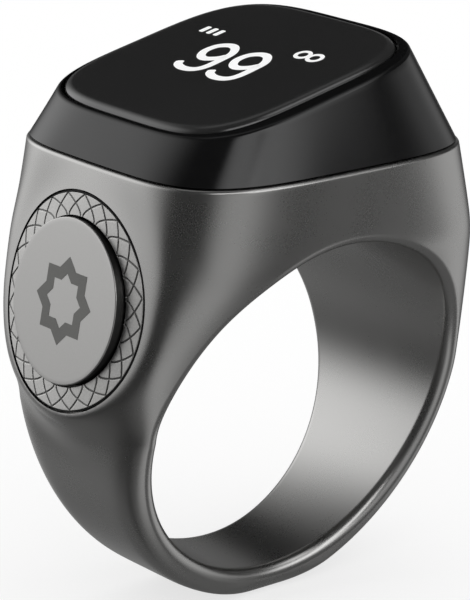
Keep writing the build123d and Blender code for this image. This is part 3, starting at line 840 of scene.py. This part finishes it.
class RING_OT_display(bpy.types.Operator):
    """Draws the lit count, the charge bars and the link sign on the lens"""

    bl_idname = "ring.display"
    bl_label = "Display marks"

    def execute(self, context):
        h = context.scene.ring.hood
        f = context.scene.ring.finish
        glow = grain_finish(
            "lit_pixels", f.glow, metallic=0.0, roughness=0.5,
            grain=0.15 * MM, contrast=0.05, spread=0.05, bump=0.02,
        )
        shader = glow.node_tree.nodes["Principled BSDF"]
        shader.inputs["Emission Color"].default_value = (*f.glow, 1)
        shader.inputs["Emission Strength"].default_value = 0.35
        for name, (path, width, closed) in self.strokes().items():
            mesh = skin(name, self.ribbon(h, path * MM, width * MM, closed), loop=closed)
            piece(mesh, glow, "ring")
        return {"FINISHED"}

    def strokes(self):
        """Each mark's points in millimetres, up and along the lens, its stroke and whether it is closed."""
        figure_stroke = 0.5
        figure_pitch = 2.78
        link_stroke = 0.24
        link_radius = 0.42
        link_up = 2.77
        bar_stroke = 0.34
        bar_heights = (2.24, 2.62, 3.0)
        bar_places = (-5.48, -4.86, -4.24)
        nine = np.array(
            [
                (-1.15, -2.98), (-1.55, -2.72), (-1.78, -2.05), (-1.62, -1.3), (-1.05, -0.95),
                (0.0, -0.95), (0.95, -1.08), (1.58, -1.6), (1.66, -2.2), (1.25, -2.75),
                (0.5, -2.86), (-0.1, -2.5), (-0.28, -1.95), (0.05, -1.35), (0.55, -1.02),
            ]
        )
        loop = link_radius * np.stack([np.cos(full_turn(8)), np.sin(full_turn(8))], axis=-1)
        marks = {
            "count_tens": (nine, figure_stroke, False),
            "count_units": (nine + [0, figure_pitch], figure_stroke, False),
            "link_left": (loop + [link_up, 2.78], link_stroke, True),
            "link_right": (loop + [link_up, 3.76], link_stroke, True),
        }
        for k, along in enumerate(bar_places):
            bar = np.array([(up, along) for up in bar_heights])
            marks[f"charge_bar_{k + 1}"] = (bar, bar_stroke, False)
        return marks

    def ribbon(self, h, path, width, closed):
        """Thin bar along a smooth path on the lens. The path is a Catmull-Rom curve through the points, the
        bar's section a flat rectangle, and open ends are drawn in along an ellipse to half the width."""
        steps = 10
        end_run = 0.2 * width
        end_cut = 0.75
        if closed:
            knots = np.concatenate([path[-1:], path, path[:1], path[1:2]])
        else:
            knots = np.concatenate([2 * path[:1] - path[1:2], path, 2 * path[-1:] - path[-2:-1]])
        t = (np.arange(steps) / steps)[None, :, None]
        p0, p1, p2, p3 = (knots[i : len(knots) - 3 + i, None, :] for i in range(4))
        square = 2 * p0 - 5 * p1 + 4 * p2 - p3
        cube = 3 * p1 - p0 - 3 * p2 + p3
        curve = (0.5 * (2 * p1 + (p2 - p0) * t + square * t**2 + cube * t**3)).reshape(-1, 2)
        half = width / 2
        if closed:
            ahead = np.roll(curve, -1, 0) - np.roll(curve, 1, 0)
        else:
            curve = np.concatenate([curve, path[-1:]])
            ahead = np.gradient(curve, axis=0)
            run = np.concatenate([[0], np.cumsum(np.linalg.norm(np.diff(curve, axis=0), axis=1))])
            left = np.minimum(np.minimum(run, run[-1] - run) / end_run, 1)[:, None]
            half = half * np.sqrt(1 - end_cut * (1 - left) ** 2)
        ahead = unit(ahead)
        side = np.stack([-ahead[:, 1], ahead[:, 0]], axis=-1)
        centre, across, along, out = lens_frame(h)
        edges = np.stack([curve + side * half, curve - side * half], axis=1)
        flat = centre + edges[..., :1] * across - edges[..., 1:] * along
        low = flat - MARK_SUNK * out
        high = flat + MARK_PROUD * out
        return np.stack([low[:, 0], low[:, 1], high[:, 1], high[:, 0]], axis=1)


class RING_OT_inside(bpy.types.Operator):
    """Gives the parts inside the ring their finishes"""

    bl_idname = "ring.inside"
    bl_label = "Inner parts"

    def execute(self, context):
        # each finish: colour, metallic, roughness, grain in millimetres, contrast, spread, bump
        finishes = {
            "clear_glue": ((0.55, 0.56, 0.55), 0.0, 0.3, 0.2, 0.08, 0.05, 0.1),
            "panel_glass": ((0.015, 0.016, 0.02), 0.0, 0.15, 0.3, 0.2, 0.03, 0.05),
            "amber_flex": ((0.45, 0.2, 0.04), 0.0, 0.4, 0.12, 0.15, 0.06, 0.2),
            "moulded_black": ((0.02, 0.02, 0.021), 0.0, 0.5, 0.08, 0.25, 0.08, 0.3),
            "bright_steel": ((0.6, 0.59, 0.57), 1.0, 0.25, 0.1, 0.06, 0.06, 0.1),
            "white_ceramic": ((0.7, 0.68, 0.62), 0.0, 0.45, 0.06, 0.08, 0.06, 0.2),
            "grey_silicone": ((0.08, 0.08, 0.085), 0.0, 0.65, 0.15, 0.15, 0.08, 0.25),
            "carrier_nylon": ((0.05, 0.05, 0.052), 0.0, 0.55, 0.2, 0.2, 0.08, 0.3),
            "cell_foil": ((0.62, 0.63, 0.64), 1.0, 0.32, 0.3, 0.08, 0.08, 0.3),
            "solder_mask": ((0.012, 0.07, 0.03), 0.0, 0.35, 0.15, 0.25, 0.08, 0.2),
            "tungsten": ((0.3, 0.3, 0.3), 1.0, 0.45, 0.08, 0.12, 0.08, 0.3),
            "gold_plate": ((0.83, 0.6, 0.24), 1.0, 0.22, 0.06, 0.06, 0.06, 0.1),
        }
        worn = {
            "clear_glue": ("lens_adhesive", "optical_adhesive"),
            "panel_glass": ("oled_panel",),
            "amber_flex": ("oled_flex", "switch_flex", "charge_flex"),
            "moulded_black": ("flex_connector", "radio_chip", "power_chip", "switch_base", "pin_bushes"),
            "bright_steel": (
                "crystal", "battery_tabs", "motor_base", "motor_case", "motor_shaft", "switch_dome",
            ),
            "white_ceramic": ("chip_antenna", "capacitors"),
            "grey_silicone": ("cap_seal", "ring_gasket", "battery_pads", "motor_pad"),
            "carrier_nylon": ("inner_carrier",),
            "cell_foil": ("battery_cell",),
            "solder_mask": ("main_board",),
            "tungsten": ("motor_rotor",),
            "gold_plate": ("charge_pins",),
        }
        for name, (base, metallic, roughness, grain, *rest) in finishes.items():
            made = grain_finish(name, base, metallic, roughness, grain * MM, *rest)
            for node in worn[name]:
                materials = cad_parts[node].data.materials
                materials.clear()
                materials.append(made)
        return {"FINISHED"}


class RING_OT_stage(bpy.types.Operator):
    """Sets the white floor, the studio light and the camera"""

    bl_idname = "ring.stage"
    bl_label = "Stage"

    def execute(self, context):
        g = context.scene.ring.stage
        context.scene.view_settings.view_transform = "Standard"
        self.floor(g)
        self.light(context.scene)
        self.tent(g)
        self.camera(context.scene, g)
        return {"FINISHED"}

    def floor(self, g):
        """White disc under the ring: plain rings about its middle, in metres. It glows, so that it is white
        in the picture and still keeps the ring's shadow."""
        pole = 0.02
        middle = 0.2
        thickness = 0.01
        radius = g.floor_radius
        rings = [[pole, 0.0], [middle, 0.0], [radius, 0.0], [radius, -thickness], [pole, -thickness]]
        ground = CAD_BOX[0][2] * UPRIGHT
        turned = lathe((ground, ACROSS, ALONG, UPRIGHT), full_turn(96), np.array(rings))
        mesh = outward(skin("white_floor", turned))
        white = bpy.data.materials.new("white_floor")
        white.use_nodes = True
        shader = white.node_tree.nodes["Principled BSDF"]
        shader.inputs["Base Color"].default_value = (0.3, 0.3, 0.3, 1)
        shader.inputs["Emission Color"].default_value = (1, 1, 1, 1)
        shader.inputs["Emission Strength"].default_value = 0.7
        shader.inputs["Roughness"].default_value = 1.0
        shader.inputs["Specular IOR Level"].default_value = 0.0
        mesh.materials.append(white)
        floor = placed("white_floor", mesh)
        floor.visible_glossy = False

    def light(self, scene):
        """White world of strength one: the background, and the light on matt surfaces."""
        world = bpy.data.worlds.new("white_world")
        scene.world = world
        world.use_nodes = True
        plain = world.node_tree.nodes["Background"]
        plain.inputs["Color"].default_value = (1, 1, 1, 1)
        plain.inputs["Strength"].default_value = 1.0

    def tent(self, g):
        """Round studio tent, seen in gloss alone: a sphere whose lining glows in soft boxes. Each box is the
        product of two smooth bumps, one of the turn about the upright axis and one of the height angle. The
        last box is a black flag, which takes light away where the lens looks."""
        # each box: turn, half width, softness, height angle, half height, softness, strength
        boxes = (
            (120, 8, 48, 18, 10, 28, 1.4),
            (100, 2, 22, 10, 8, 20, 0.4),
            (82, 0, 65, -26, 2, 17, 0.43),
            (-68, 11, 11, 18, 2, 18, 2.1),
            (-104, 18, 15, 32, 5, 9, 2.0),
            (-55, 10, 12, 50, 6, 10, 1.5),
            (-96, 7, 34, -28, 30, 11, 0.45),
            (-13, 11, 26, -15, 19, 8, 0.63),
            (48, 10, 15, 6, 8, 10, 0.14),
            (-5, 130, 60, -67, 22, 18, 0.1),
            (60, 70, 25, 75, 10, 10, 0.3),
            (59, 7, 9, 28, 5, 8, -0.045),
        )
        ambient = 0.055
        lining = bpy.data.materials.new("tent_lining")
        lining.use_nodes = True
        lining.cycles.emission_sampling = "NONE"
        tree = lining.node_tree
        tree.nodes.clear()
        place = tree.nodes.new("ShaderNodeTexCoord").outputs["Object"]
        direction = tree.nodes.new("ShaderNodeVectorMath")
        direction.operation = "NORMALIZE"
        tree.links.new(place, direction.inputs[0])
        split = tree.nodes.new("ShaderNodeSeparateXYZ")
        tree.links.new(direction.outputs[0], split.inputs[0])
        round_ = math_node(tree, "ARCTAN2", split.outputs[1], split.outputs[0])
        height = math_node(tree, "ARCSINE", split.outputs[2])
        total = ambient
        for middle, wide, soft, level, tall, fade, strength in boxes:
            across = self.bump(tree, round_, middle, wide, soft)
            up = self.bump(tree, height, level, tall, fade)
            lit = math_node(tree, "MULTIPLY", math_node(tree, "MULTIPLY", across, up), strength)
            total = math_node(tree, "ADD", total, lit)
        glow = tree.nodes.new("ShaderNodeEmission")
        tree.links.new(total, glow.inputs["Color"])
        out = tree.nodes.new("ShaderNodeOutputMaterial")
        tree.links.new(glow.outputs[0], out.inputs["Surface"])
        profile = arc_points((0.0, 0.0), g.tent_radius, -89, 89, 30)
        turned = lathe((np.zeros(3), ACROSS, ALONG, UPRIGHT), full_turn(48), profile)
        mesh = outward(skin("studio_tent", turned))
        mesh.materials.append(lining)
        tent = placed("studio_tent", mesh)
        tent.visible_camera = False
        tent.visible_diffuse = False
        tent.visible_shadow = False

    def bump(self, tree, socket, middle, half, soft):
        """One within half of the middle, falling to nought over the softness; degrees, wrapped round the
        circle."""
        off = math_node(tree, "SUBTRACT", socket, np.radians(middle))
        away = math_node(tree, "ABSOLUTE", math_node(tree, "WRAP", off, np.pi, -np.pi))
        fall = tree.nodes.new("ShaderNodeMapRange")
        fall.interpolation_type = "SMOOTHSTEP"
        tree.links.new(away, fall.inputs["Value"])
        fall.inputs["From Min"].default_value = np.radians(half)
        fall.inputs["From Max"].default_value = np.radians(half + soft)
        fall.inputs["To Min"].default_value = 1.0
        fall.inputs["To Max"].default_value = 0.0
        return fall.outputs[0]

    def camera(self, scene, g):
        """Camera on a sphere about the ring, at the photograph's angle, rolled and aimed off the axis."""
        flat = np.cos(g.elevation)
        back = Vector((np.sin(g.azimuth) * flat, -np.cos(g.azimuth) * flat, np.sin(g.elevation)))
        right = Vector((np.cos(g.azimuth), np.sin(g.azimuth), 0))
        up = back.cross(right)
        level = right * np.cos(g.roll) + up * np.sin(g.roll)
        above = up * np.cos(g.roll) - right * np.sin(g.roll)
        eye = level * g.aim_right + above * g.aim_up + back * g.distance
        data = bpy.data.cameras.new("camera")
        data.sensor_fit = "VERTICAL"
        data.sensor_height = 36.0
        data.lens = g.lens
        data.clip_start = 0.01
        data.clip_end = 20.0
        made = placed("camera", data)
        made.matrix_world = Matrix.Translation(eye) @ Matrix((level, above, back)).transposed().to_4x4()
        scene.camera = made


class RING_PT_panel(bpy.types.Panel):
    """Sidebar list of the ring's steps"""

    bl_idname = "RING_PT_panel"
    bl_label = "Counting ring"
    bl_space_type = "VIEW_3D"
    bl_region_type = "UI"
    bl_category = "Ring"

    def draw(self, context):
        for operator in OPERATORS:
            self.layout.operator(operator.bl_idname)


OPERATORS = (RING_OT_body, RING_OT_hood, RING_OT_button, RING_OT_display, RING_OT_inside, RING_OT_stage)
GROUPS = (ShankSettings, HoodSettings, ButtonSettings, FinishSettings, StageSettings, RingSettings)
CLASSES = GROUPS + OPERATORS + (RING_PT_panel,)


def register():
    """Registers the classes and hangs the settings on the scene."""
    for cls in CLASSES:
        bpy.utils.register_class(cls)
    bpy.types.Scene.ring = bpy.props.PointerProperty(type=RingSettings)


def unregister():
    """Takes the settings off the scene and the classes out, last first."""
    del bpy.types.Scene.ring
    for cls in reversed(CLASSES):
        bpy.utils.unregister_class(cls)


def main():
    """Registers the add-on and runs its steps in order."""
    register()
    bpy.ops.ring.body()
    bpy.ops.ring.hood()
    bpy.ops.ring.button()
    bpy.ops.ring.display()
    bpy.ops.ring.inside()
    bpy.ops.ring.stage()


if __name__ == "__main__":
    main()
